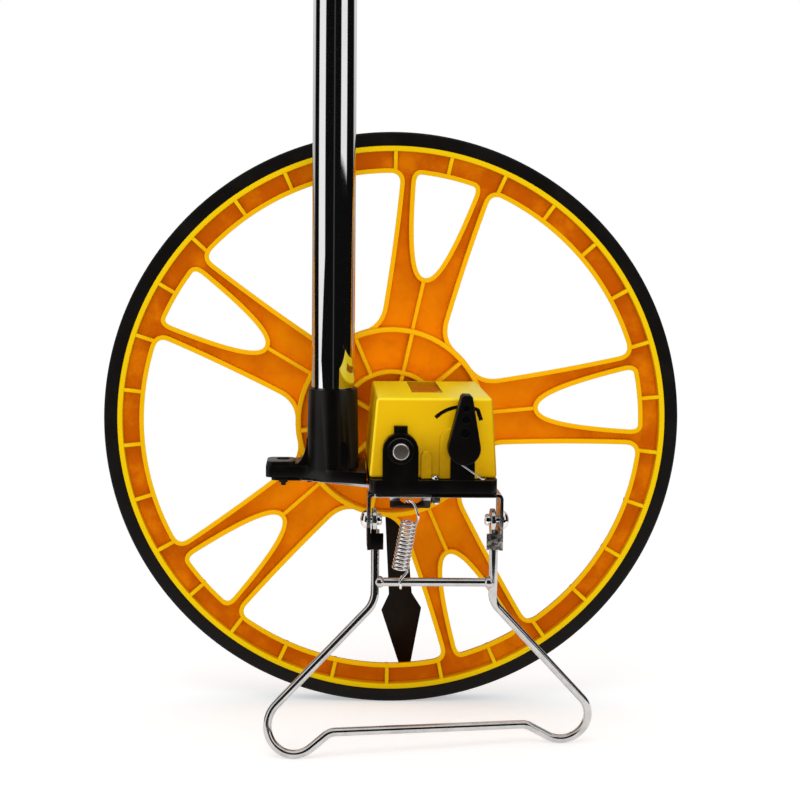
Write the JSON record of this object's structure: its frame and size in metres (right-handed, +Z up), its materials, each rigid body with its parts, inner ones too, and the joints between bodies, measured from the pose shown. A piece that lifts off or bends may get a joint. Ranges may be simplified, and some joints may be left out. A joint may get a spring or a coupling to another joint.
{
  "type": "measuring wheel",
  "caption": "Upright distance measuring wheel: large spoked wheel, geared counter in a drafted housing, telescopic handle and a folding wire stand.",
  "frame": {"origin": "on the ground, under the middle of the object's bounding box", "axes": "+Z up, the counter faces -Y, +X to the right as seen from the counter side; the wheel leans 6.5 degrees towards -Y onto its stand"},
  "size_m": [0.3184, 0.1542, 0.5505],
  "materials": {
    "rubber": "matt",
    "grip_rubber": "matt",
    "wheel_yellow": "semi-gloss moulding",
    "housing_yellow": "semi-gloss moulding",
    "black_plastic": "satin",
    "white_plastic": "satin",
    "drum_white": "satin",
    "clear_plastic": "clear, tinted by what lies behind",
    "steel": "turned",
    "zinc": "bright zinc plate",
    "chrome": "mirror"
  },
  "bodies": {
    "frame": {"base_plate": "black_plastic", "front_bush": "black_plastic", "rear_bush": "black_plastic", "housing": "housing_yellow", "counter_window": "clear_plastic", "counter_frame": "zinc", "counter_shaft": "steel", "pinion_shaft": "steel", "reset_spring": "chrome", "stand_bracket": "zinc", "stand_rivet_left": "chrome", "stand_rivet_right": "chrome", "stand_spring": "chrome", "pole_socket": "black_plastic", "lower_tube": "chrome", "lower_collar": "black_plastic", "plate_screw_1": "chrome", "plate_nut_1": "zinc", "flange_screw_1": "chrome", "flange_nut_1": "zinc", "plate_screw_2": "chrome", "plate_nut_2": "zinc", "flange_screw_2": "chrome", "flange_nut_2": "zinc", "plate_screw_3": "chrome", "plate_nut_3": "zinc", "flange_screw_3": "chrome", "flange_nut_3": "zinc"},
    "wheel": {"tyre": "rubber", "wheel": "wheel_yellow", "axle": "steel", "drive_gear": "white_plastic", "axle_nut": "steel", "pointer_washer": "steel"},
    "pointer": {"pointer": "black_plastic"},
    "reset": {"reset_lever": "black_plastic", "reset_comb": "steel"},
    "stand": {"kickstand": "chrome"},
    "middle": {"middle_tube": "chrome", "upper_collar": "black_plastic"},
    "upper": {"upper_tube": "chrome", "grip": "grip_rubber"},
    "number_1": {"drum_1": "drum_white"},
    "number_2": {"drum_2": "drum_white"},
    "number_3": {"drum_3": "drum_white"},
    "number_4": {"drum_4": "drum_white"},
    "number_5": {"drum_5": "drum_white"},
    "transfer_1": {"pinion_1": "white_plastic"},
    "transfer_2": {"pinion_2": "white_plastic"},
    "transfer_3": {"pinion_3": "white_plastic"},
    "transfer_4": {"pinion_4": "white_plastic"}
  },
  "joints": [
    {"name": "wheel_spin", "type": "hinge", "parent": "frame", "child": "wheel", "pos_m": [0, 0.03558, 0.15798], "axis": [0, 0.9935, 0.1137], "continuous": true},
    {"name": "pointer_swing", "type": "hinge", "parent": "frame", "child": "pointer", "pos_m": [0, 0.03558, 0.15798], "axis": [0, 0.9935, 0.1137], "continuous": true},
    {"name": "reset_press", "type": "hinge", "parent": "frame", "child": "reset", "pos_m": [0.03, -0.062, 0.14872], "axis": [0, -0.9935, -0.1137], "range_deg": [0, 35], "stiffness_Nm_per_rad": 0.08, "springref_deg": -8.59, "deforming": ["reset_spring"]},
    {"name": "stand_fold", "type": "hinge", "parent": "frame", "child": "stand", "pos_m": [0.0171, -0.05038, 0.11321], "axis": [1, 0, 0], "range_deg": [0, 38], "stiffness_Nm_per_rad": 0.06, "springref_deg": -20.05, "deforming": ["stand_spring"]},
    {"name": "middle_slide", "type": "slide", "parent": "frame", "child": "middle", "axis": [0, -0.1137, 0.9935], "range_m": [0, 0.18]},
    {"name": "upper_slide", "type": "slide", "parent": "middle", "child": "upper", "axis": [0, -0.1137, 0.9935], "range_m": [0, 0.18]},
    {"name": "number_1_spin", "type": "hinge", "parent": "frame", "child": "number_1", "pos_m": [0.0146, -0.01545, 0.16412], "axis": [0, 0.9935, 0.1137], "continuous": true},
    {"name": "transfer_1_spin", "type": "hinge", "parent": "frame", "child": "transfer_1", "pos_m": [0.02272, -0.01467, 0.15735], "axis": [0, 0.9935, 0.1137], "continuous": true},
    {"name": "number_2_spin", "type": "hinge", "parent": "frame", "child": "number_2", "pos_m": [0.0146, -0.01545, 0.16412], "axis": [0, 0.9935, 0.1137], "continuous": true},
    {"name": "transfer_2_spin", "type": "hinge", "parent": "frame", "child": "transfer_2", "pos_m": [0.02272, -0.01467, 0.15735], "axis": [0, 0.9935, 0.1137], "continuous": true},
    {"name": "number_3_spin", "type": "hinge", "parent": "frame", "child": "number_3", "pos_m": [0.0146, -0.01545, 0.16412], "axis": [0, 0.9935, 0.1137], "continuous": true},
    {"name": "transfer_3_spin", "type": "hinge", "parent": "frame", "child": "transfer_3", "pos_m": [0.02272, -0.01467, 0.15735], "axis": [0, 0.9935, 0.1137], "continuous": true},
    {"name": "number_4_spin", "type": "hinge", "parent": "frame", "child": "number_4", "pos_m": [0.0146, -0.01545, 0.16412], "axis": [0, 0.9935, 0.1137], "continuous": true},
    {"name": "transfer_4_spin", "type": "hinge", "parent": "frame", "child": "transfer_4", "pos_m": [0.02272, -0.01467, 0.15735], "axis": [0, 0.9935, 0.1137], "continuous": true},
    {"name": "number_5_spin", "type": "hinge", "parent": "frame", "child": "number_5", "pos_m": [0.0146, -0.01545, 0.16412], "axis": [0, 0.9935, 0.1137], "continuous": true}
  ],
  "couplings": [
    {"joint": "number_1_spin", "follows": "wheel_spin", "ratio": -1},
    {"joint": "transfer_1_spin", "follows": "wheel_spin", "ratio": 0.33333},
    {"joint": "number_2_spin", "follows": "wheel_spin", "ratio": -0.1},
    {"joint": "transfer_2_spin", "follows": "wheel_spin", "ratio": 0.033333},
    {"joint": "number_3_spin", "follows": "wheel_spin", "ratio": -0.01},
    {"joint": "transfer_3_spin", "follows": "wheel_spin", "ratio": 0.003333},
    {"joint": "number_4_spin", "follows": "wheel_spin", "ratio": -0.001},
    {"joint": "transfer_4_spin", "follows": "wheel_spin", "ratio": 0.000333},
    {"joint": "number_5_spin", "follows": "wheel_spin", "ratio": -0.0001}
  ]
}
